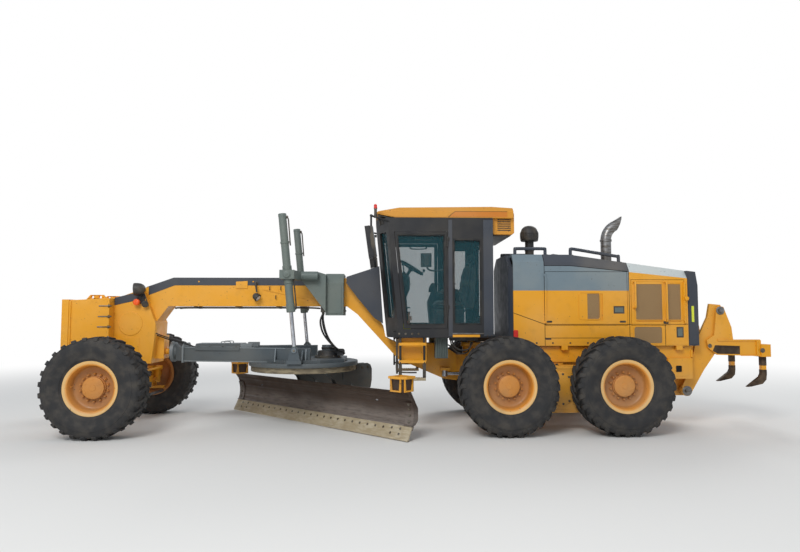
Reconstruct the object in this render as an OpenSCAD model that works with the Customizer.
// Motor grader with an angled blade, an articulated frame, leaning front wheels and a rear ripper.
// +X is forward, +Y is the machine's left, +Z is up. The origin is on the ground, under the middle
// of the machine's length and width. All sizes are in millimetres.

/* [Wheels] */
// Distance from the front axle to the middle of the tandems
wheelbase = 6160; // [6000:10:6300]
// Distance between the two wheels of a tandem
tandem_pitch = 1540; // [1500:5:1600]
// Distance between the middles of the left and right tyres
track = 2180; // [2160:5:2230]
// Radius of a tyre out to the tips of its lugs
tyre_r = 655; // [640:5:670]
// Width of a tyre
tyre_w = 440; // [420:5:450]
// Radius of the rim where the tyre's bead sits
rim_r = 318; // [310:1:325]
// How far the middle of the tandems lies behind the origin
tandem_back = 1875; // [1850:5:1900]

/* [Front frame] */
// Half the width of the main beam
beam_half_w = 170; // [150:5:190]
// Height of the main beam's top above the ground
beam_top = 2140; // [2120:5:2160]
// Depth of the main beam
beam_depth = 415; // [390:5:430]
// How far the front weight's face lies ahead of the front axle
weight_reach = 790; // [770:5:800]
// Half the width of the front weight
weight_half_w = 430; // [410:5:440]

/* [Hinge between the frames] */
// How far the hinge lies ahead of the middle of the tandems
hinge_ahead = 1100; // [1080:5:1120]
// Radius of the hinge pin
hinge_pin_r = 55; // [45:1:60]
// Radial clearance of every pin in its bore
pin_gap = 0.5; // [0.3:0.1:0.8]

/* [Drawbar and circle] */
// How far the drawbar's ball lies ahead of the middle of the circle
ball_ahead = 1920; // [1900:5:1940]
// Height of the drawbar's ball
ball_z = 1060; // [1050:5:1070]
// Radius of the ball
ball_r = 90; // [80:1:95]
// Outer radius of the circle
circle_r = 800; // [780:5:810]
// Thickness of the circle's ring
circle_t = 60; // [50:1:70]
// Distance from the front axle back to the middle of the circle
blade_base = 2560; // [2540:5:2580]

/* [Blade] */
// Length of the blade
blade_l = 3960; // [3800:10:4000]
// Height of the blade
blade_h = 610; // [600:5:620]
// Radius of the blade's concave face
blade_r = 413; // [405:1:420]
// Thickness of the blade's plate
blade_t = 22; // [18:1:25]
// Height of the cutting edge above the ground
blade_lift = 12; // [8:1:20]
// Angle that the blade is turned to, with its left end back
blade_angle = 45; // [40:1:48]
// How far the blade is shifted to its left end
blade_shift = 115; // [30:5:120]
// Thickness of the cutting edge
edge_t = 19; // [16:1:22]

/* [Lift cylinders] */
// Distance of each lift cylinder from the middle of the machine
lift_y = 770; // [750:5:790]
// Radius of a lift cylinder's tube
lift_tube_r = 55; // [50:1:60]
// Radius of a lift cylinder's rod
lift_rod_r = 27; // [24:1:30]
// Height of the tube's top
lift_top_z = 3000; // [2980:5:3020]
// Height of the pins that carry the tubes
lift_pin_z = 2150; // [2140:5:2170]

/* [Cab] */
// Half the width of the cab
cab_half_w = 740; // [730:5:745]
// Height of the cab's underside
cab_floor_z = 1280; // [1275:5:1300]
// Height of the cab's walls at the top
cab_top_z = 2960; // [2930:5:2980]
// Thickness of the cab's walls
cab_wall = 60; // [50:2:70]
// Thickness of the roof
roof_t = 165; // [150:5:180]

/* [Engine hood] */
// Half the width of the hood
hood_half_w = 620; // [600:5:630]
// Height of the hood's bottom edge
hood_z = 1160; // [1150:5:1170]
// Height of the hood's top at its front
hood_top_z = 2465; // [2440:5:2480]
// Thickness of the hood's walls
hood_wall = 40; // [30:2:50]

/* [Ripper] */
// How far the ripper's rear face lies behind the middle of the tandems
ripper_reach = 3200; // [3180:5:3220]

/* [Hidden] */
$fn = 48;

tandem_x = -tandem_back;
mid_x = tandem_x + tandem_pitch / 2;
rear_x = tandem_x - tandem_pitch / 2;
axle_x = tandem_x + wheelbase;
hinge_x = tandem_x + hinge_ahead;
circle_x = axle_x - blade_base;
ball_x = circle_x + ball_ahead;
axle_z = tyre_r;
wheel_y = track / 2;
clear = 6;
seat = 0.3;

YELLOW = "goldenrod";
DARK = "#3a4044";
GREY = "#6d7675";
BLACK = "#202224";
RUBBER = "#2b2b2b";

// Plates and bars: a polygon of [x, z] between two values of y, of [y, z] between two values of x,
// and of [x, y] between two values of z
module plate_y(y0, y1, pts) translate([0, y1, 0]) rotate([90, 0, 0]) linear_extrude(y1 - y0) polygon(pts);
module plate_x(x0, x1, pts) translate([x0, 0, 0]) rotate([90, 0, 90]) linear_extrude(x1 - x0) polygon(pts);
module plate_z(z0, z1, pts) translate([0, 0, z0]) linear_extrude(z1 - z0) polygon(pts);
module block(x, y, z) translate([x[0], y[0], z[0]]) cube([x[1] - x[0], y[1] - y[0], z[1] - z[0]]);
module both_sides() { children(); mirror([0, 1, 0]) children(); }
module side(s) if (s > 0) children(); else mirror([0, 1, 0]) children();
module tube_x(x0, x1, y, z, r) translate([x0, y, z]) rotate([0, 90, 0]) cylinder(h = x1 - x0, r = r);
module tube_y(x, y0, y1, z, r) translate([x, y0, z]) rotate([-90, 0, 0]) cylinder(h = y1 - y0, r = r);
module tube_z(x, y, z0, z1, r) translate([x, y, z0]) cylinder(h = z1 - z0, r = r);
// Round bar from point p to point q
module bar(p, q, r) {
    d = q - p;
    h = norm(d);
    translate(p) rotate([0, acos(d[2] / h), atan2(d[1], d[0])]) cylinder(h = h, r = r);
}

// Wheels. Each is made at its centre with its outer side towards +Y.
rim_flange_r = rim_r + 38;
rim_half_w = 178;
disc_y = 15;
hub_r = 150;
hub_out = 40;
module tyre_at_centre() color(RUBBER) rotate([-90, 0, 0]) rotate_extrude($fn = 72) polygon([
    // radius, across
    [rim_r, -rim_half_w + 24], [rim_r + 50, -rim_half_w + 24], [rim_r + 60, -tyre_w / 2 + 26],
    [tyre_r - 190, -tyre_w / 2], [tyre_r - 120, -tyre_w / 2], [tyre_r - 45, -tyre_w / 2 + 12],
    [tyre_r, -tyre_w / 2 + 40], [tyre_r, tyre_w / 2 - 40],
    [tyre_r - 45, tyre_w / 2 - 12], [tyre_r - 120, tyre_w / 2], [tyre_r - 190, tyre_w / 2],
    [rim_r + 60, tyre_w / 2 - 26], [rim_r + 50, rim_half_w - 24], [rim_r, rim_half_w - 24]]);
module rim_at_centre(spindle_r) color(YELLOW) rotate([-90, 0, 0]) rotate_extrude($fn = 72) polygon([
    // radius, across
    [spindle_r + pin_gap, disc_y - 30], [hub_r, disc_y - 30], [hub_r + 40, disc_y - 12],
    [rim_r - 40, disc_y - 12],
    [rim_r - 40, -rim_half_w + 30], [rim_r - 18, -rim_half_w], [rim_flange_r, -rim_half_w],
    [rim_flange_r, -rim_half_w + 14], [rim_r, -rim_half_w + 24], [rim_r, rim_half_w - 24],
    [rim_flange_r, rim_half_w - 14], [rim_flange_r, rim_half_w], [rim_r - 18, rim_half_w],
    [rim_r - 40, rim_half_w - 30], [rim_r - 40, disc_y + 12], [hub_r, disc_y + 12],
    [hub_r - 8, disc_y + hub_out], [spindle_r + pin_gap, disc_y + hub_out]]);
spindle_r = 62;
module tyre(x, s) translate([x, s * wheel_y, axle_z]) side(s) tyre_at_centre();
module rim(x, s) translate([x, s * wheel_y, axle_z]) side(s) rim_at_centre(spindle_r);
// Length of a spindle past the middle of its wheel, with its end cap
spindle_end = disc_y + hub_out + 10;

// Rear frame: two rails, their cross members, the rear half of the hinge and the tail
rail_out = 550;
rail_in = 470;
rail_z = [930, 1150];
rail_front = hinge_x - 430;
tail_x = tandem_x - 1990;
lug_t = 60;
hinge_low = 580;
hinge_high = 1130;
lug_end_r = 150;
module hinge_lug(z0, z1) {
    tube_z(hinge_x, 0, z0, z1, lug_end_r);
    plate_z(z0, z1, [[hinge_x, -lug_end_r], [hinge_x, lug_end_r], [rail_front, 260], [rail_front, -260]]);
}
box_front = tandem_x - 1640;
ripper_pivot = [tandem_x - 1980, 500];
hinge_base = [hinge_x - 320, 255, 745];
hinge_eye = [hinge_x + 420, 255, 745];
tail_plate = [tail_x + 200, tail_x + 250];
rip_base = [tail_x + 305, 0, 560];
rip_eye = [ripper_pivot[0] - 130, 0, ripper_pivot[1] + 380];
rip_pin_r = 22;
module rear_frame() color(YELLOW) {
    both_sides() block([tail_x, rail_front], [rail_in, rail_out], rail_z);
    block([rail_front - 60, rail_front], [-rail_in, rail_in], [hinge_low - lug_t, hinge_high + lug_t]);
    difference() {
        block(tail_plate, [-rail_in, rail_in], [600, 1150]);
        block([tail_plate[0] - 5, tail_plate[1] + 5], [-90, 90], [590, 790]);
    }
    block([tandem_x - 600, tandem_x - 540], [-rail_in, rail_in], [rail_z[0], rail_z[1] - 60]);
    hinge_lug(hinge_low - lug_t, hinge_low);
    hinge_lug(hinge_high, hinge_high + lug_t);
    tube_z(hinge_x, 0, hinge_low - lug_t, hinge_high + lug_t + 20, hinge_pin_r);
    // Boxes at the tail's corners, and the ears that carry the ripper
    both_sides() {
        block([tail_x, box_front], [rail_out - 1, rail_out + 40], [690, 980]);
        for (x = [600, -100, -900, -1750])
            block([tandem_x + x - 90, tandem_x + x], [rail_out - 1, hood_half_w],
                [hood_z - 60, hood_z - seat]);
        block([tail_x - 60, tail_plate[0] + 1], [250, 300], [420, 720]);
        tube_y(ripper_pivot[0], 250, arm_out, ripper_pivot[1], 40);
        // Brackets of the ripper's cylinder and of the steering cylinders between the frames
        block([tail_plate[1] + 5, rip_base[0] + 40], [55, 85], [490, 700]);
        for (z = [690, 786]) block([rail_front - 1, hinge_base[0] + 32], [205, 305], [z, z + 14]);
        tube_z(hinge_base[0], hinge_base[1], 700, 790, rip_pin_r);
    }
    block([tail_plate[0] - 60, rip_base[0] + 40], [-299, 299], [465, 500]);
    tube_y(rip_base[0], -60, 60, rip_base[2], rip_pin_r);
}

// Tandems: two cases that carry the wheels, joined by the drive axle
case_in = 600;
case_out = 820;
module tandems() color(YELLOW) {
    both_sides() {
        plate_y(case_in, case_out, [
            [mid_x + 130, 360], [mid_x + 130, 820], [mid_x + 60, 880], [tandem_x + 200, 895],
            [tandem_x - 200, 895],
            [rear_x - 60, 880], [rear_x - 130, 820], [rear_x - 130, 360], [rear_x - 60, 290],
            [tandem_x - 200, 255], [tandem_x + 200, 255], [mid_x + 60, 290]]);
        for (x = [mid_x, rear_x]) {
            tube_y(x, case_out, wheel_y - 60, axle_z, 130);
            tube_y(x, case_out, wheel_y + spindle_end, axle_z, spindle_r);
            tube_y(x, wheel_y + disc_y + hub_out + 4, wheel_y + spindle_end + 20, axle_z, hub_r - 12);
        }
        tube_y(tandem_x, 300, case_in, axle_z, 190);
    }
    tube_y(tandem_x, -300, 300, axle_z, 150);
    tube_x(tandem_x - 130, tandem_x + 230, 0, axle_z, 220);
    // Saddles that hang the drive axle from the frame
    both_sides() block([tandem_x - 140, tandem_x + 140], [rail_in, rail_out - 20],
        [axle_z + 100, rail_z[0]]);
}

// Engine, as one plain block on the rails
module engine_block() color(GREY) {
    block([tandem_x - 1000, tandem_x + 250], [-330, 330], [rail_z[1] - 10, 1950]);
    both_sides() block([tandem_x - 800, tandem_x - 700], [330, 480], [rail_z[1], rail_z[1] + 80]);
    both_sides() block([tandem_x + 50, tandem_x + 150], [330, 480], [rail_z[1], rail_z[1] + 80]);
}

// Hood: three sections in line, each a shell between two outlines. A section's outline is given by
// its place, its top and the height where its shoulder starts.
hood_front = tandem_x + 580;
sec_a = tandem_x + 140;
sec_a2 = tandem_x - 260;
sec_b = tandem_x - 1085;
sec_c = tandem_x - 1930;
shoulder_in = 90;
door_z = 1450;
function hood_outline(top, grow) = [
    [-hood_half_w + grow, hood_z - 1], [-hood_half_w + grow, top - 120],
    [-hood_half_w + shoulder_in + grow, top - grow], [hood_half_w - shoulder_in - grow, top - grow],
    [hood_half_w - grow, top - 120], [hood_half_w - grow, hood_z - 1]];
module hood_part(x0, top0, x1, top1, grow) hull() {
    plate_x(x0 - 1, x0, hood_outline(top0, grow));
    plate_x(x1, x1 + 1, hood_outline(top1, grow));
}
hood_top_b = hood_top_z - 115;
hood_top_c = hood_top_z - 228;
function top_at(x) = x > sec_a2 ? hood_top_z
    : hood_top_b + (x - sec_b) * (hood_top_z - hood_top_b) / (sec_a2 - sec_b);
// One side's hinge of a door: its part on the door at one side of the pin, and on the hood at the other
module hinge_leaf(r, pin_x, way, on_door) {
    span = [door_z + 60, r[2] - 60];
    for (z = on_door ? [span] : [[span[0] - 30, span[0] - seat], [span[1] + seat, span[1] + 30]]) {
        tube_z(pin_x, hood_half_w + hood_hinge_r, z[0], z[1], hood_hinge_r);
        block([min(pin_x, pin_x + way * 25), max(pin_x, pin_x + way * 25)],
            [hood_half_w - 1, hood_half_w + hood_hinge_r], z);
    }
}
module hood() color(YELLOW) {
    hood_skin();
    both_sides() {
        hinge_leaf(engine_door_x, engine_pin_x, 1, false);
        hinge_leaf(cooler_door_x, cooler_pin_x, -1, false);
    }
}
module hood_skin() difference() {
    union() {
        hood_part(hood_front, hood_top_z, sec_a2, hood_top_z, 0);
        hood_part(sec_a2, hood_top_z, sec_b, hood_top_b, 0);
        hood_part(sec_b, hood_top_b, sec_c, hood_top_c, 0);
    }
    hood_part(hood_front + 2, hood_top_z, sec_a2, hood_top_z, hood_wall);
    hood_part(sec_a2, hood_top_z, sec_b, hood_top_b, hood_wall);
    hood_part(sec_b, hood_top_b, sec_c - 2, hood_top_c, hood_wall);
    block([sec_c - 10, hood_front + 10], [-hood_half_w - 5, hood_half_w + 5], [hood_z - 50, hood_z]);
    for (r = [engine_door_x, cooler_door_x])
        block([r[0] - clear, r[1] + clear], [-hood_half_w - 5, hood_half_w + 5],
            [door_z - clear, r[2] + clear]);
}
// Doors of the hood: rear edge, front edge and top
engine_door_x = [sec_b + 30, sec_a - 20, hood_top_b - 140];
cooler_door_x = [sec_c + 50, sec_b - 30, hood_top_c - 140];
engine_pin_x = engine_door_x[1] + clear / 2;
cooler_pin_x = cooler_door_x[0] - clear / 2;
hood_hinge_r = 12;
module hood_door(r, pin_x, way, window) {
    difference() {
        block([r[0], r[1]], [hood_half_w - hood_wall, hood_half_w], [door_z, r[2]]);
        for (w = window)
            block([w[0], w[1]], [hood_half_w - 12, hood_half_w + 5], [w[2], w[3]]);
    }
    hinge_leaf(r, pin_x, way, true);
}
module engine_door(s) side(s) color(YELLOW)
    hood_door(engine_door_x, engine_pin_x, -1, [[tandem_x - 700, tandem_x - 480, 1520, 1900]]);
module cooler_door(s) side(s) color(YELLOW)
    hood_door(cooler_door_x, cooler_pin_x, 1, [
        [tandem_x - 1560, tandem_x - 1180, door_z + 50, cooler_door_x[2] - 60],
        [tandem_x - 1830, tandem_x - 1610, door_z + 50, cooler_door_x[2] - 60]]);

// Dark pieces of the hood: the bulkhead behind the cab, the tail guard and the top handrails
cowl_t = 60;
bulkhead_z = hinge_high + lug_t + seat;
guard_back = tandem_x - 2090;
rail_pipe_r = 16;
module handrail(x0, x1, y) {
    h = 90;
    for (x = [x0, x1]) {
        tube_z(x, y, top_at(x) + (x > sec_a2 ? seat : 2.5), top_at(x) + h, rail_pipe_r);
        translate([x, y, top_at(x) + h]) sphere(r = rail_pipe_r + 6);
    }
    bar([x0, y, top_at(x0) + h], [x1, y, top_at(x1) + h], rail_pipe_r);
}
module dark_panels() color(DARK) {
    difference() {
        plate_x(hood_front, hood_front + cowl_t, [
            [-hood_half_w + 20, bulkhead_z], [-hood_half_w + 20, hood_top_z - 200], [-330, hood_top_z + 5],
            [330, hood_top_z + 5], [hood_half_w - 20, hood_top_z - 200], [hood_half_w - 20, bulkhead_z]]);
        for (s = [-1, 1])
            translate([hood_front + 10, s * (hood_half_w - 20), hood_z - 5])
                rotate([0, 0, s * 45]) translate([0, -90, 0]) cube([120, 180, 1400]);
    }
    difference() {
        plate_y(-hood_half_w + 15, hood_half_w - 15, [
            [guard_back, hood_z], [guard_back, 2020], [guard_back + 30, hood_top_c - 20],
            [sec_c - seat, hood_top_c - 5], [sec_c - seat, hood_z]]);
        plate_y(-hood_half_w + 75, hood_half_w - 75, [
            [guard_back + 40, hood_z - 5], [guard_back + 40, 2010], [guard_back + 60, hood_top_c - 80],
            [sec_c + 5, hood_top_c - 80], [sec_c + 5, hood_z - 5]]);
        for (i = [0 : 6])
            block([guard_back - 5, guard_back + 45], [-430, 430], [1300 + 95 * i, 1350 + 95 * i]);
    }
    both_sides() {
        handrail(hood_front - 60, hood_front - 500, 480);
        handrail(sec_a2 - 30, sec_b + 90, 480);
    }
}

cleaner_x = tandem_x + 190;
module precleaner() color(BLACK) {
    tube_z(cleaner_x, 0, hood_top_z, hood_top_z + 270, 62);
    translate([cleaner_x, 0, hood_top_z + 255]) rotate_extrude() polygon([
        [0, 0], [125, 0], [132, 20], [132, 130], [110, 190], [70, 225], [0, 235]]);
}

stack_x = tandem_x - 993;
stack_r = 78;
stack_bend_z = hood_top_b + 390;
bend_r = 250;
bend_turn = 60;
bend_end = [stack_x - bend_r * (1 - cos(bend_turn)), 0, stack_bend_z + bend_r * sin(bend_turn)];
module at_bend_end() translate(bend_end) rotate([0, -bend_turn, 0]) children();
module exhaust_stack() color("silver") difference() {
    union() {
        tube_z(stack_x, 0, top_at(stack_x) + 11.2, stack_bend_z, stack_r);
        translate([stack_x - bend_r, 0, stack_bend_z]) rotate([90, 0, 0])
            rotate_extrude(angle = bend_turn) translate([bend_r, 0]) circle(r = stack_r);
        at_bend_end() cylinder(h = 230, r = stack_r);
    }
    at_bend_end() translate([0, 0, 5]) cylinder(h = 400, r = stack_r - 6);
    translate([bend_end[0] - 35, 0, bend_end[2] - 85]) rotate([0, -19, 0])
        translate([-400, -200, -100]) cube(400);
}

// Ripper: two arms that swing on the tail, and a carriage that hangs from their top
tool_back = tandem_x - ripper_reach;
arm_top = [guard_back - 390, 1660];
arm_in = 380;
arm_out = 430;
carriage_in = arm_out + clear;
carriage_out = carriage_in + 40;
module arm_plate() plate_y(arm_in, arm_out, [
    [ripper_pivot[0] + 60, 440], [ripper_pivot[0] + 70, 560], [ripper_pivot[0] - 50, 820],
    [arm_top[0] + 350, 1200], [arm_top[0] + 170, 1560], [arm_top[0] + 130, 1760],
    [arm_top[0] - 30, 1745], [arm_top[0] - 75, 1640], [arm_top[0] + 20, 1450], [arm_top[0] + 110, 1240],
    [arm_top[0] + 60, 1050], [ripper_pivot[0] - 260, 800], [ripper_pivot[0] - 40, 430]]);
module ripper_arm() color(YELLOW) difference() {
    union() {
        both_sides() arm_plate();
        both_sides() tube_y(ripper_pivot[0], 306, arm_out, ripper_pivot[1], 75);
        // Ears of the cylinder's eye and the tube that carries them
        both_sides() tube_y(rip_eye[0], 35 + seat, 75, rip_eye[2], 55);
        tube_y(rip_eye[0] - 95, -arm_in, arm_in, rip_eye[2], 45);
        both_sides() block([rip_eye[0] - 95, rip_eye[0]], [35 + seat, 75],
            [rip_eye[2] - 40, rip_eye[2] + 40]);
    }
    tube_y(ripper_pivot[0], -500, 500, ripper_pivot[1], 40 + pin_gap);
    ripper_pin_holes();
}
tool_x = tool_back + 70;
tool_z = 1080;
shank_y = 400;
module shank(y) {
    block([tool_x - 35, tool_x + 35], [y - 30, y + 30], [730, tool_z + 60]);
    plate_y(y - 30, y + 30, [
        [tool_x - 35, 740], [tool_x + 35, 740], [tool_x + 60, 690], [tool_x + 250, 550],
        [tool_x + 200, 560], [tool_x + 30, 600], [tool_x - 25, 660]]);
}
module ripper_carriage() color(YELLOW) {
    both_sides() {
        plate_y(carriage_in, carriage_out, [
            [arm_top[0] + 60, 1640], [arm_top[0] + 20, 1725], [arm_top[0] - 50, 1715],
            [arm_top[0] - 160, 1420],
            [arm_top[0] - 180, 1240], [tool_x + 70, 1240], [tool_x + 70, 1000], [arm_top[0] + 60, 1020],
            [arm_top[0] + 190, 1120], [arm_top[0] + 210, 1230], [arm_top[0] + 100, 1300]]);
        block([tool_x + 60, tool_x + 300], [carriage_in - 60, carriage_out], [1010, 1230]);
    }
    difference() {
        block([tool_x - 70, tool_x + 70], [-carriage_out - 20, carriage_out + 20], [990, 1170]);
        for (y = [-200, 0, 200]) block([tool_x - 38, tool_x + 38], [y - 33, y + 33], [980, 1180]);
    }
    both_sides() shank(shank_y);
    tube_y(arm_top[0] - 330, -carriage_in, carriage_in, 1120, 45);
    // Pins that hold the carriage in the arms' top
    both_sides() tube_y(arm_top[0], arm_in - 20, carriage_in + 20, arm_top[1], 36);
}
module ripper_pin_holes() tube_y(arm_top[0], -arm_out - 3, arm_out + 3, arm_top[1], 36 + pin_gap);

// Cylinders. Each tube turns on a pin at its base, and its rod slides in it.
hinge_tube_r = 44;
hinge_rod_r = 24;
module eye_z(p, r, h, hole) difference() {
    tube_z(p[0], p[1], p[2] - h / 2, p[2] + h / 2, r);
    tube_z(p[0], p[1], p[2] - h, p[2] + h, hole + pin_gap);
}
module hinge_tube(s) side(s) color(DARK) {
    eye_z(hinge_base, 42, 82 - 2 * seat, rip_pin_r);
    tube_x(hinge_base[0] + 30, hinge_base[0] + 60, hinge_base[1], hinge_base[2], 34);
    difference() {
        tube_x(hinge_base[0] + 55, hinge_base[0] + 420, hinge_base[1], hinge_base[2], hinge_tube_r);
        tube_x(hinge_base[0] + 80, hinge_base[0] + 500, hinge_base[1], hinge_base[2], hinge_rod_r + pin_gap);
    }
}
module hinge_rod(s) side(s) color("silver") {
    tube_x(hinge_base[0] + 250, hinge_eye[0] - 30, hinge_base[1], hinge_base[2], hinge_rod_r);
    tube_z(hinge_eye[0], hinge_eye[1], 705, hinge_lug_z - seat, 42);
}
rip_axis = (rip_eye - rip_base) / norm(rip_eye - rip_base);
rip_l = norm(rip_eye - rip_base);
module ripper_tube() color(YELLOW) difference() {
    union() {
        tube_y(rip_base[0], -52, 52, rip_base[2], 45);
        bar(rip_base + 30 * rip_axis, rip_base + 380 * rip_axis, 50);
    }
    tube_y(rip_base[0], -60, 60, rip_base[2], rip_pin_r + pin_gap);
    bar(rip_base + 60 * rip_axis, rip_base + 420 * rip_axis, 26 + pin_gap);
}
module ripper_rod() color("silver") {
    bar(rip_base + 150 * rip_axis, rip_base + (rip_l - 40) * rip_axis, 26);
    tube_y(rip_eye[0], -35, 35, rip_eye[2], 45);
}

// Front frame: head over the axle, main beam, gooseneck, the part under the cab and the hinge's tongue
beam_z = [beam_top - beam_depth, beam_top];
head_half_w = 260;
head_front = axle_x + 140;
neck_x = tandem_x + 2900;
under_z = [870, 1180];
hinge_lug_z = 790;
module front_frame() color(YELLOW) {
    difference() {
        union() {
            // Head
            plate_y(-head_half_w, head_half_w, [
                [head_front, 1000], [head_front, 1840], [axle_x - 270, 1840 + 100], [axle_x - 450, 1480],
                [axle_x - 440, 1286], [axle_x - 400, 900], [axle_x - 100, 900]]);
            // Main beam
            plate_y(-beam_half_w, beam_half_w, [
                [head_front, 1720], [head_front, 1845], [tandem_x + 5490, beam_top], [neck_x, beam_top],
                [tandem_x + 2420, 1440], [tandem_x + 2385, 1270], [tandem_x + 2200, under_z[1]],
                [hinge_x + 480, under_z[1]],
                [hinge_x + 240, 1020], [hinge_x + 240, 640], [hinge_x + 420, 660],
                [tandem_x + 2016, under_z[0]],
                [tandem_x + 2200, 950], [tandem_x + 2800, beam_z[0] - 120], [neck_x + 60, beam_z[0]],
                [tandem_x + 5560, beam_z[0]], [tandem_x + 5740, 1480], [axle_x - 300, 1480]]);
            // Tongue of the hinge
            tube_z(hinge_x, 0, hinge_low + 5, hinge_high - 5, 130);
            block([hinge_x, hinge_x + 260], [-130, 130], [hinge_low + 70, hinge_high - 120]);
            // Ears that carry the front axle
            for (x = [axle_x - 180, axle_x + 130]) block([x, x + 50], [-150, 150], [560, 1010]);
            // Brackets of the drawbar's ball and of the steering cylinders
            block([ball_x + ball_r + 20, axle_x - 380], [-110, 110], [960, 1300]);
            both_sides() block([hinge_x + 350, hinge_x + 480], [150, 300], [hinge_lug_z, hinge_lug_z + 40]);
        }
        tube_z(hinge_x, 0, 0, 2000, hinge_pin_r + pin_gap);
        tube_x(axle_x - 300, axle_x + 300, 0, 760, 60 + pin_gap);
    }
    tube_x(ball_x, ball_x + ball_r + 60, 0, ball_z, 45);
    translate([ball_x, 0, ball_z]) sphere(r = ball_r);
}

module front_weight() color(YELLOW) {
    plate_y(-weight_half_w, weight_half_w, [
        [head_front + seat, 1080], [head_front + seat, 1835], [axle_x + weight_reach - 95, 1805],
        [axle_x + weight_reach - 95, 1080]]);
    block([axle_x + weight_reach - 95, axle_x + weight_reach],
        [-weight_half_w - 25, weight_half_w + 25], [1060, 1815]);
    both_sides() difference() {
        plate_y(250, 300, [
            [head_front + 100, 1820], [head_front + 150, 1885], [head_front + 330, 1885],
            [head_front + 400, 1805]]);
        tube_y(head_front + 190, 240, 310, 1853, 22);
        tube_y(head_front + 300, 240, 310, 1853, 22);
    }
}

// Saddle: a collar on the beam with two arms that carry the lift cylinders
saddle_x = tandem_x + 3000;
lift_trunnion_r = 30;
lift_rod_in = 290;
lift_x = tandem_x + 3745;
foot_x = tandem_x + 3640;
foot_z = 1110;
arm_boss = [lift_x - 150, 480, lift_pin_z];
module saddle() color(GREY) {
    difference() {
        plate_x(saddle_x, saddle_x + 260, [
            [-330, 1590], [-330, 2060], [-230, beam_top + 60], [230, beam_top + 60], [330, 2060],
            [330, 1590]]);
        block([saddle_x - 10, saddle_x + 300], [-beam_half_w - seat, beam_half_w + seat],
            [1500, beam_top + seat]);
    }
    both_sides() {
        plate_y(230, 420, [
            [saddle_x + 250, 1640], [saddle_x + 250, beam_top + 40], [lift_x - 400, lift_pin_z + 60],
            [lift_x - 150, lift_pin_z + 60], [lift_x - 150, lift_pin_z - 60]]);
        tube_x(arm_boss[0] - 240, arm_boss[0], arm_boss[1], arm_boss[2], 62);
        // Collar around the tube, with the bores of the tube's pins
        difference() {
            union() {
                plate_z(lift_pin_z - 62, lift_pin_z + 62, [
                    [arm_boss[0] - 1, 420], [arm_boss[0] - 1, 540], [lift_x - 100, lift_y - 20],
                    [lift_x, lift_y - 60],
                    [lift_x + 40, lift_y - 92], [lift_x - 60, 420]]);
                block([lift_x - 100, lift_x + 100], [lift_y - 95, lift_y + 95],
                    [lift_pin_z - 62, lift_pin_z + 62]);
            }
            block([lift_x - 72, lift_x + 72], [lift_y - 62, lift_y + 62],
                [lift_pin_z - 70, lift_pin_z + 70]);
            tube_y(lift_x, lift_y - 110, lift_y + 110, lift_pin_z, lift_trunnion_r + pin_gap);
        }
    }
}

// Lift cylinders. The tube hangs on pins in the saddle's fork, and its rod reaches the drawbar.
lift_pin = [lift_x, lift_y, lift_pin_z];
lift_reach = norm([foot_x, lift_y, foot_z] - lift_pin);
lift_axis = ([foot_x, lift_y, foot_z] - lift_pin) / lift_reach;
lift_up = lift_top_z - lift_pin_z;
lift_down = 515;
module lift_tube(s) side(s) color(GREY) difference() {
    union() {
        bar(lift_pin - lift_up * lift_axis, lift_pin + lift_down * lift_axis, lift_tube_r);
        tube_y(lift_x, lift_y - 95, lift_y + 95, lift_pin_z, lift_trunnion_r);
    }
    bar(lift_pin - (lift_up - 60) * lift_axis, lift_pin + (lift_down + 50) * lift_axis,
        lift_rod_r + pin_gap);
}
module lift_rod(s) side(s) color("silver") {
    bar(lift_pin - lift_rod_in * lift_axis, lift_pin + (lift_reach - 40) * lift_axis, lift_rod_r);
    tube_y(foot_x, lift_y - 30, lift_y + 30, foot_z, 48);
}

// Cover of the valves, ahead of the cab
module valve_cover() color(DARK) difference() {
    plate_y(-300, 300, [
        [tandem_x + 2960, beam_top + 12], [tandem_x + 2480, beam_top + 170], [tandem_x + 2424, 1470],
        [tandem_x + 2560, 1560], [tandem_x + 2800, 1850], [tandem_x + 2960, 2060]]);
    plate_y(-beam_half_w - 0.3, beam_half_w + 0.3, [
        [tandem_x + 2970, beam_top + 0.3], [neck_x - 0.3, beam_top + 0.3], [tandem_x + 2419, 1440],
        [tandem_x + 2419, 1300], [tandem_x + 2970, 1300]]);
    plate_y(-260, 260, [
        [tandem_x + 2900, beam_top + 1], [tandem_x + 2460, beam_top + 120],
        [tandem_x + 2410, beam_top + 120],
        [tandem_x + 2410, 1500], [tandem_x + 2600, 1500], [tandem_x + 2800, 1750]]);
}

// Cab: a shell between a floor outline and a roof outline, with its windows and door openings cut
cab_back = tandem_x + 885;
cab_post = tandem_x + 2205;
cab_nose = tandem_x + 2365;
cab_lean = 165;
nose_half_w = 430;
b_post = tandem_x + 1508;
function cab_plan(shift, grow) = [
    [cab_back + grow, cab_half_w - grow], [cab_post + shift, cab_half_w - grow],
    [cab_nose + shift - grow, nose_half_w - grow], [cab_nose + shift - grow, -nose_half_w + grow],
    [cab_post + shift, -cab_half_w + grow], [cab_back + grow, -cab_half_w + grow]];
module cab_body(z0, z1, grow) hull() {
    plate_z(z0, z0 + 1, cab_plan(0, grow));
    plate_z(z1 - 1, z1, cab_plan(cab_lean, grow));
}
sill_z = 1400;
head_z = cab_top_z - 200;
glass_low = sill_z + 160;
glass_high = cab_top_z - 300;
function lean_at(z) = cab_lean * (z - cab_floor_z) / (cab_top_z - cab_floor_z);
door_gap = 6;
function door_outline(grow) = [
    [b_post + 20 + grow, sill_z + grow], [cab_post - 75 + lean_at(sill_z) - grow, sill_z + grow],
    [cab_post - 75 + lean_at(head_z) - grow, head_z - grow], [b_post + 20 + grow, head_z - grow]];
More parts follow.
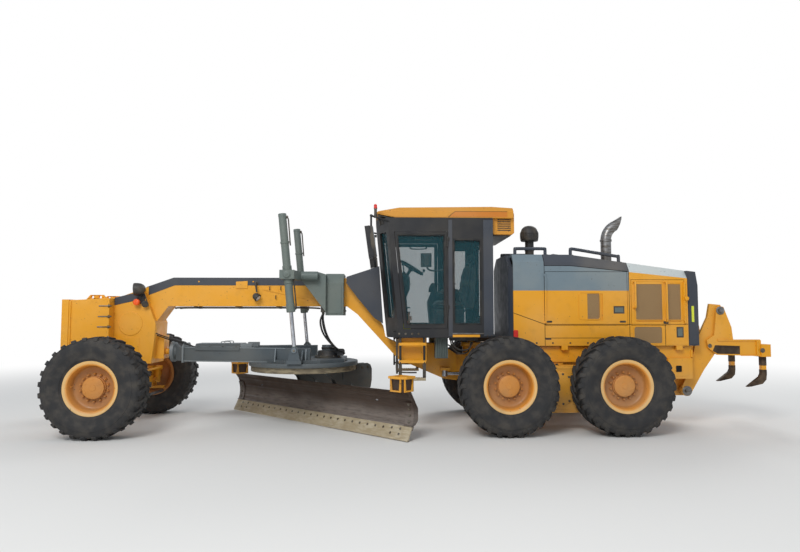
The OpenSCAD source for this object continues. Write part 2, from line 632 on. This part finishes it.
module rear_side_window(grow) block([cab_back + 170 + grow, b_post - 60 - grow],
    [-cab_half_w - 5, cab_half_w + 5],
    [sill_z + 60 + grow, glass_high - grow]);
module front_window(grow) plate_y(-nose_half_w + 70 + grow, nose_half_w - 70 - grow, [
    [cab_nose - 100, glass_low + grow], [cab_nose + 300, glass_low + grow], [cab_nose + 300, head_z - grow],
    [cab_nose - 100, head_z - grow]]);
module rear_window(grow) block([cab_back - 5, cab_back + cab_wall + 5], [-560 + grow, 560 - grow],
    [glass_low + grow, glass_high - grow]);
corner_mid = [(cab_post + cab_nose) / 2, (cab_half_w + nose_half_w) / 2];
corner_turn = atan2(cab_half_w - nose_half_w, cab_post - cab_nose);
corner_half = norm([cab_post - cab_nose, cab_half_w - nose_half_w]) / 2;
module corner_window(grow) both_sides() hull() for (z = [glass_low + grow, head_z - grow])
    translate([corner_mid[0] + lean_at(z), corner_mid[1], z]) rotate([0, 0, corner_turn])
        translate([-corner_half + 75 + grow, -cab_wall - 20, 0])
            cube([2 * corner_half - 150 - 2 * grow, 2 * cab_wall + 40, 1]);
module cab_windows(grow) {
    rear_side_window(grow);
    front_window(grow);
    rear_window(grow);
    corner_window(grow);
}
cab_hinge_z = [sill_z + 200, head_z - 210];
module cab_hinge_leaf(way, z0, z1) {
    x = b_post + 22;
    tube_z(x, cab_half_w + 14, z0, z1, 13);
    block([min(x, x + way * 30), max(x, x + way * 30)], [cab_half_w - 1, cab_half_w + 13], [z0, z1]);
}
module cab_shell() color(BLACK) {
    both_sides() for (z = cab_hinge_z) cab_hinge_leaf(-1, z + 80 + seat, z + 130);
    difference() {
        cab_body(cab_floor_z, cab_top_z, 0);
        cab_body(cab_floor_z + 80, cab_top_z + 2, cab_wall);
        cab_windows(0);
        plate_y(-cab_half_w - 5, cab_half_w + 5, door_outline(0));
    }
    // Mirrors on their arms, at the front corners
    both_sides() {
        bar([cab_post + 130, cab_half_w - 20, cab_top_z - 60],
            [cab_nose + 230, cab_half_w + 150, cab_top_z], 14);
        translate([cab_nose + 230, cab_half_w + 150, cab_top_z]) sphere(r = 20);
        tube_z(cab_nose + 230, cab_half_w + 150, cab_top_z - 260, cab_top_z, 14);
        translate([cab_nose + 190, cab_half_w + 60, cab_top_z - 580]) rotate([0, 8, 0]) cube([70, 220, 430]);
    }
}
glass_t = 8;
module cab_glass() color("lightblue", 0.4) intersection() {
    difference() {
        cab_body(cab_floor_z, cab_top_z, cab_wall / 2 - glass_t / 2);
        cab_body(cab_floor_z - 5, cab_top_z + 5, cab_wall / 2 + glass_t / 2);
    }
    cab_windows(0);
}
door_t = 45;
module cab_door(s) side(s) color(BLACK) {
    difference() {
        plate_y(cab_half_w - door_t, cab_half_w, door_outline(door_gap));
        plate_y(cab_half_w - door_t - 5, cab_half_w + 5, door_outline(70));
    }
    plate_y(cab_half_w - door_t / 2 - 4, cab_half_w - door_t / 2 + 4, door_outline(70));
    for (z = cab_hinge_z) cab_hinge_leaf(1, z, z + 80);
    bar([cab_post - 140, cab_half_w + 40, 1480], [cab_post - 130, cab_half_w + 40, 1620], 12);
    for (z = [1485, 1615]) tube_y(cab_post - 136, cab_half_w - 2, cab_half_w + 40, z, 10);
}
roof_half_w = 720;
module cab_roof() color(YELLOW) {
    intersection() {
        plate_y(-roof_half_w, roof_half_w, [
            [cab_back - 300, cab_top_z], [cab_back - 300, cab_top_z + roof_t - 10],
            [cab_back, cab_top_z + roof_t + 12],
            [tandem_x + 2200, cab_top_z + roof_t - 10], [tandem_x + 2500, cab_top_z + 90],
            [tandem_x + 2535, cab_top_z + 60], [tandem_x + 2250, cab_top_z]]);
        plate_x(tandem_x, tandem_x + 3000, [
            [-roof_half_w, cab_top_z], [-roof_half_w, cab_top_z + 100],
            [-roof_half_w + 90, cab_top_z + roof_t + 20],
            [roof_half_w - 90, cab_top_z + roof_t + 20], [roof_half_w, cab_top_z + 100],
            [roof_half_w, cab_top_z]]);
    }
    // Air unit behind the cab
    plate_y(-roof_half_w + 60, roof_half_w - 60, [
        [cab_back - 320, cab_top_z + 80], [cab_back - 320, cab_top_z - 200],
        [cab_back - 290, cab_top_z - 225],
        [cab_back - 30, cab_top_z - 225], [cab_back - 12, cab_top_z - 205], [cab_back - 12, cab_top_z + 1],
        [cab_back - 290, cab_top_z + 80]]);
}

module cab_interior() color("#4a4d50") {
    floor_top = cab_floor_z + 80;
    block([cab_back + 330, cab_back + 830], [-270, 270], [floor_top, floor_top + 260]);
    block([cab_back + 300, cab_back + 820], [-260, 260], [floor_top + 260, floor_top + 400]);
    plate_y(-240, 240, [
        [cab_back + 300, floor_top + 380], [cab_back + 200, floor_top + 1050],
        [cab_back + 300, floor_top + 1070],
        [cab_back + 430, floor_top + 400]]);
    // Pedestal with the levers and the steering wheel
    plate_y(-150, 150, [
        [cab_nose - 140, floor_top], [cab_nose - 100, floor_top + 800], [cab_nose - 250, floor_top + 880],
        [cab_nose - 360, floor_top + 700], [cab_nose - 330, floor_top]]);
    bar([cab_nose - 300, 0, floor_top + 760], [cab_nose - 370, 0, floor_top + 960], 30);
    translate([cab_nose - 375, 0, floor_top + 970]) rotate([0, -32, 0]) {
        rotate_extrude($fn = 48) polygon([[172, -14], [204, -14], [208, 0], [204, 14], [172, 14], [168, 0]]);
        translate([0, 0, -14]) cylinder(h = 28, r = 42);
        for (a = [0, 120, 240]) rotate([0, 0, a]) translate([0, -18, -9]) cube([175, 36, 18]);
    }
}

// Steps below the cab doors, and the tanks behind them
step_x = [tandem_x + 1860, tandem_x + 2190];
module steps() color(BLACK) {
    both_sides() {
        for (x = step_x) bar([x, 790, 720], [x, 790, cab_floor_z + 5], 16);
        for (x = step_x) bar([x, 790, cab_floor_z - 14], [x, 700, cab_floor_z - 14], 14);
        for (z = [700, 940, 1180]) block([step_x[0] - 16, step_x[1] + 16], [720, 810], [z, z + 30]);
    }
}
lean_y = 710;
lean_z = 580;
lean_pin_r = 30;
king_y = 830;
king_r = 34;
ear_x = [60, 100];
trunnion_z = 760;
module front_axle() color(YELLOW) difference() {
    union() {
        tube_x(axle_x - 125, axle_x + 125, 0, trunnion_z, 110);
        plate_x(axle_x - 100, axle_x + 100, [
            [-640, 520], [-640, 640], [-300, 700], [-110, 800], [110, 800], [300, 700], [640, 640],
            [640, 520],
            [300, 560], [-300, 560]]);
        both_sides() for (s = [-1, 1])
            block([axle_x + s * 80 - 20, axle_x + s * 80 + 20], [620, 760], [520, 640]);
        tube_x(axle_x - 178, axle_x + 178, 0, trunnion_z, 60);
    }
    both_sides() tube_x(axle_x - 200, axle_x + 200, lean_y, lean_z, lean_pin_r + pin_gap);
}

// Front wheels: a knuckle that leans on the axle's end, and one that steers on the kingpin. The lean
// bar joins the horns of the leaning knuckles, and the tie rod joins the arms of the steering ones.
lean_arm = 190;
lean_bar_x = axle_x - 210;
lean_bar_z = lean_z + lean_arm;
bar_pin_r = 18;
sleeve_z = [530, 730];
arm_z = [432, 470];
tie_x = axle_x - 200;
tie_z = 394;
tie_pin_r = 12;
module lean_knuckle(s) side(s) color(YELLOW) difference() {
    union() {
        tube_x(axle_x - ear_x[0] + clear, axle_x + ear_x[0] - clear, lean_y, lean_z, 56);
        tube_x(axle_x - 150, axle_x + 110, lean_y, lean_z, lean_pin_r);
        block([axle_x - 54, axle_x + 54], [lean_y, king_y], sleeve_z);
        tube_z(axle_x, king_y, sleeve_z[0], sleeve_z[1], 60);
        // Horn and pin of the lean bar
        plate_x(axle_x - 190, axle_x - 150, [
            [lean_y - 45, lean_z - 20], [lean_y - 20, lean_z - 45], [lean_y + 20, lean_z - 45],
            [lean_y + 45, lean_z - 20], [lean_y + 32, lean_bar_z + 15],
            [lean_y + 15, lean_bar_z + 32], [lean_y - 15, lean_bar_z + 32],
            [lean_y - 32, lean_bar_z + 15]]);
        tube_x(lean_bar_x - 22, lean_bar_x + 30, lean_y, lean_bar_z, bar_pin_r);
    }
    tube_z(axle_x, king_y, 0, 1000, king_r + pin_gap);
}
module steer_knuckle(s) side(s) color(YELLOW) {
    tube_z(axle_x, king_y, arm_z[1] - 1, 785, king_r);
    for (z = [[arm_z[1], sleeve_z[0] - clear], [sleeve_z[1] + clear, 780]]) {
        tube_z(axle_x, king_y, z[0], z[1], 62);
        block([axle_x - 62, axle_x + 62], [king_y, king_y + 120], z);
    }
    block([axle_x - 70, axle_x + 70], [king_y + 75, king_y + 125], [arm_z[1], 780]);
    tube_y(axle_x, king_y + 120, wheel_y - 25, axle_z, 110);
    tube_y(axle_x, king_y + 120, wheel_y + spindle_end, axle_z, spindle_r);
    tube_y(axle_x, wheel_y + disc_y + hub_out + 4, wheel_y + spindle_end + 20, axle_z, hub_r - 12);
    // Steering arm, with the pin of the tie rod on the left
    plate_z(arm_z[0], arm_z[1], [
        [axle_x + 50, king_y - 40], [axle_x + 50, king_y + 60], [axle_x - 60, king_y + 50],
        [tie_x - 22, king_y + 28],
        [tie_x - 30, king_y], [tie_x - 22, king_y - 28], [axle_x - 60, king_y - 45]]);
    if (s > 0) tube_z(tie_x, king_y, tie_z - 28, arm_z[0] + 1, tie_pin_r);
}
module tie_end() color(DARK) difference() {
    tube_z(tie_x, king_y, tie_z - 22, arm_z[0] - seat, 29);
    tube_z(tie_x, king_y, tie_z - 100, arm_z[0] + 100, tie_pin_r + pin_gap);
}
module tie_rod() color(DARK) {
    for (s = [-1, 1]) {
        ear = tie_x + s * (37 + seat);
        tube_x(ear - 8, ear + 8, king_y, tie_z, 15);
        block([ear - 8, ear + 8], [king_y - 62, king_y], [tie_z - 15, tie_z + 15]);
    }
    block([tie_x - 46, tie_x + 46], [king_y - 75, king_y - 50], [tie_z - 15, tie_z + 15]);
    tube_y(tie_x, -king_y, king_y - 60, tie_z, 22);
    translate([tie_x, -king_y, tie_z]) sphere(r = 22);
}
module lean_bar() color(YELLOW) difference() {
    union() {
        both_sides() tube_x(lean_bar_x - 20, axle_x - 190 - seat, lean_y, lean_bar_z, 31);
        tube_y(lean_bar_x, -lean_y + 30, lean_y - 30, lean_bar_z, 19);
    }
    both_sides() tube_x(lean_bar_x - 40, lean_bar_x + 60, lean_y, lean_bar_z, bar_pin_r + pin_gap);
}

// Drawbar: the ball's socket, two beams in an A and the plate that carries the circle
socket_wall = 30;
plate_low = 925;
draw_z = [930, 1125];
cover_x = [circle_x + 890, circle_x + 1555];
module drawbar() color(DARK) {
    difference() {
        translate([ball_x, 0, ball_z]) sphere(r = ball_r + socket_wall);
        translate([ball_x, 0, ball_z]) sphere(r = ball_r + pin_gap);
        block([ball_x + 35, ball_x + 200], [-200, 200], [ball_z - 200, ball_z + 200]);
    }
    difference() {
        both_sides() plate_z(draw_z[0], draw_z[1], [
            [ball_x - 60, 10], [ball_x - 60, 100], [ball_x - 190, 160], [circle_x + 560, 400],
            [circle_x + 200, 520], [circle_x - 150, 560], [circle_x - 150, 440], [circle_x + 180, 400],
            [circle_x + 560, 270], [ball_x - 190, 10]]);
        translate([ball_x, 0, ball_z]) sphere(r = ball_r + socket_wall - 5);
    }
    plate_z(plate_low, plate_low + 40, [
        [circle_x + 560, -380], [circle_x + 560, 380], [circle_x + 200, 640], [circle_x - 300, 640],
        [circle_x - 620, 400], [circle_x - 620, -400], [circle_x - 300, -640], [circle_x + 200, -640]]);
    // Cover over the beams, lift feet and the circle's drive
    plate_z(draw_z[1] - 40, draw_z[1] + 12, [
        [cover_x[0], -345], [cover_x[1], -215], [cover_x[1], 215], [cover_x[0], 345]]);
    plate_x(cover_x[0], cover_x[1], [
        [-210, draw_z[1] + 11], [-150, draw_z[1] + 52], [150, draw_z[1] + 52], [210, draw_z[1] + 11]]);
    both_sides() {
        block([foot_x - 100, foot_x + 100], [440, lift_y + 65], [plate_low, plate_low + 50]);
        // Ears of the lift cylinder's eye
        for (y = [[lift_y - 58, lift_y - 30 - seat], [lift_y + 30 + seat, lift_y + 58]]) {
            plate_y(y[0], y[1], [
                [foot_x - 90, plate_low + 20], [foot_x - 50, foot_z + 20], [foot_x - 25, foot_z + 45],
                [foot_x + 25, foot_z + 45], [foot_x + 50, foot_z + 20], [foot_x + 90, plate_low + 20]]);
        }
    }
    tube_z(circle_x - 360, 0, plate_low + 39, 1070, 150);
    tube_z(circle_x - 360, 0, 1069, 1150, 95);
}

// Circle: a toothed ring under the drawbar, with the two arms that reach down to the blade
ring_z = [plate_low - circle_t - seat, plate_low - seat];
module turned() translate([circle_x, 0, 0]) rotate([0, 0, blade_angle]) children();
pitch_v = -280;
pitch_z = 330;
arm_u = 420;
module circle_ring() color(DARK) difference() {
    translate([0, 0, ring_z[0]]) cylinder(h = circle_t, r = circle_r, $fn = 96);
    translate([0, 0, ring_z[0] - 5]) cylinder(h = circle_t + 10, r = circle_r - 150, $fn = 96);
}
module circle_arms() for (u = [-arm_u, arm_u]) difference() {
    plate_y(u - 40, u + 40, [
        [350, ring_z[0]], [340, ring_z[0] - 60], [-60, 750], [-200, 650], [pitch_v + 30, 560],
        [pitch_v + 30, pitch_z + 90], [pitch_v + 75, pitch_z + 15], [pitch_v + 65, pitch_z - 40],
        [pitch_v, pitch_z - 75], [pitch_v - 80, pitch_z - 30],
        [pitch_v - 300, 620], [pitch_v - 390, 760], [pitch_v - 400, ring_z[0]]]);
    tube_y(pitch_v, u - 60, u + 60, pitch_z, 30 + pin_gap);
}
module swing_circle() turned() color(DARK) {
    circle_ring();
    circle_arms();
    block([-560, 300], [-arm_u, arm_u], [ring_z[0] + 4, ring_z[1]]);
}

// Blade: concave plate and cutting edge on a carrier that pitches. Across the blade is v, along it u.
blade_c = [292, 322 + blade_lift];
blade_bottom = blade_lift + 120;
rail_v = -175;
module arc_plate(r0, r1, z0, z1) intersection() {
    translate([0, blade_l / 2, 0]) rotate([90, 0, 0])
        linear_extrude(blade_l) translate(blade_c) difference() {
        circle(r = r1, $fn = 120);
        circle(r = r0, $fn = 120);
    }
    block([-400, 120], [-blade_l, blade_l], [z0, z1]);
}
module blade_place() turned() translate([0, blade_shift, 0]) children();
top_z = blade_lift + blade_h;
bracket_l = 190;
module moldboard() blade_place() color("#5a554e") {
    arc_plate(blade_r, blade_r + blade_t, blade_bottom, top_z);
    // Rails behind the blade that the carrier holds
    for (r = [[190, -115], [470, -100]]) block([rail_v - 35, r[1]], [-1350, 1350], [r[0], r[0] + 60]);
    // End plates and the brackets on the blade's top corners
    both_sides() {
        plate_y(blade_l / 2 - 20, blade_l / 2, [
            [-97, 192], [-115, 260], [-121, 334], [-113, 420], [-72, 530], [-5, top_z], [-60, top_z],
            [rail_v - 20, 400], [rail_v - 20, 250], [-140, 192]]);
        block([-95, 75], [blade_l / 2 - bracket_l - 20, blade_l / 2 - 20], [top_z - 2, top_z + 165]);
    }
}
module cutting_edge() blade_place() color("#a59c88")
    plate_y(-blade_l / 2, blade_l / 2, [
        [13, blade_lift], [11 - edge_t, blade_lift], [-87.5, blade_lift + 160], [-70.5, blade_lift + 168]]);
carrier_u = [300, 620];
module blade_carrier() turned() color(DARK) difference() {
    union() {
        tube_y(pitch_v, -carrier_u[1], carrier_u[1], pitch_z, 30);
        for (u = carrier_u) both_sides() plate_y(u - 30, u + 30, [
            [pitch_v - 45, pitch_z - 45], [pitch_v - 45, pitch_z + 60], [rail_v - 70, 560],
            [rail_v + 6, 560],
            [rail_v + 6, 440], [rail_v - 8, 400], [rail_v - 8, 300], [rail_v + 6, 270], [rail_v + 6, 165],
            [rail_v - 60, 165]]);
    }
    for (z = [190, 470]) block([rail_v - 35 - seat, rail_v + 60], [-1300, 1300], [z - seat, z + 60 + seat]);
}

rear_frame();
tandems();
engine_block();
hood();
dark_panels();
precleaner();
exhaust_stack();
engine_door(1);  // engine_door_left
engine_door(-1);  // engine_door_right
cooler_door(1);  // cooler_door_left
cooler_door(-1);  // cooler_door_right
ripper_arm();
ripper_carriage();
ripper_tube();
ripper_rod();
hinge_tube(1);  // hinge_tube_left
hinge_tube(-1);  // hinge_tube_right
hinge_rod(1);  // hinge_rod_left
hinge_rod(-1);  // hinge_rod_right
front_frame();
front_weight();
saddle();
valve_cover();
cab_shell();
cab_roof();
cab_interior();
cab_glass();
steps();
front_axle();
cab_door(1);  // cab_door_left
cab_door(-1);  // cab_door_right
lift_tube(1);  // lift_tube_left
lift_tube(-1);  // lift_tube_right
lift_rod(1);  // lift_rod_left
lift_rod(-1);  // lift_rod_right
lean_knuckle(1);  // lean_knuckle_left
lean_knuckle(-1);  // lean_knuckle_right
steer_knuckle(1);  // steer_knuckle_left
steer_knuckle(-1);  // steer_knuckle_right
lean_bar();
tie_end();
tie_rod();
drawbar();
swing_circle();
blade_carrier();
moldboard();
cutting_edge();
tyre(axle_x, 1);  // tyre_front_left
tyre(axle_x, -1);  // tyre_front_right
tyre(mid_x, 1);  // tyre_mid_left
tyre(mid_x, -1);  // tyre_mid_right
tyre(rear_x, 1);  // tyre_rear_left
tyre(rear_x, -1);  // tyre_rear_right
rim(axle_x, 1);  // rim_front_left
rim(axle_x, -1);  // rim_front_right
rim(mid_x, 1);  // rim_mid_left
rim(mid_x, -1);  // rim_mid_right
rim(rear_x, 1);  // rim_rear_left
rim(rear_x, -1);  // rim_rear_right
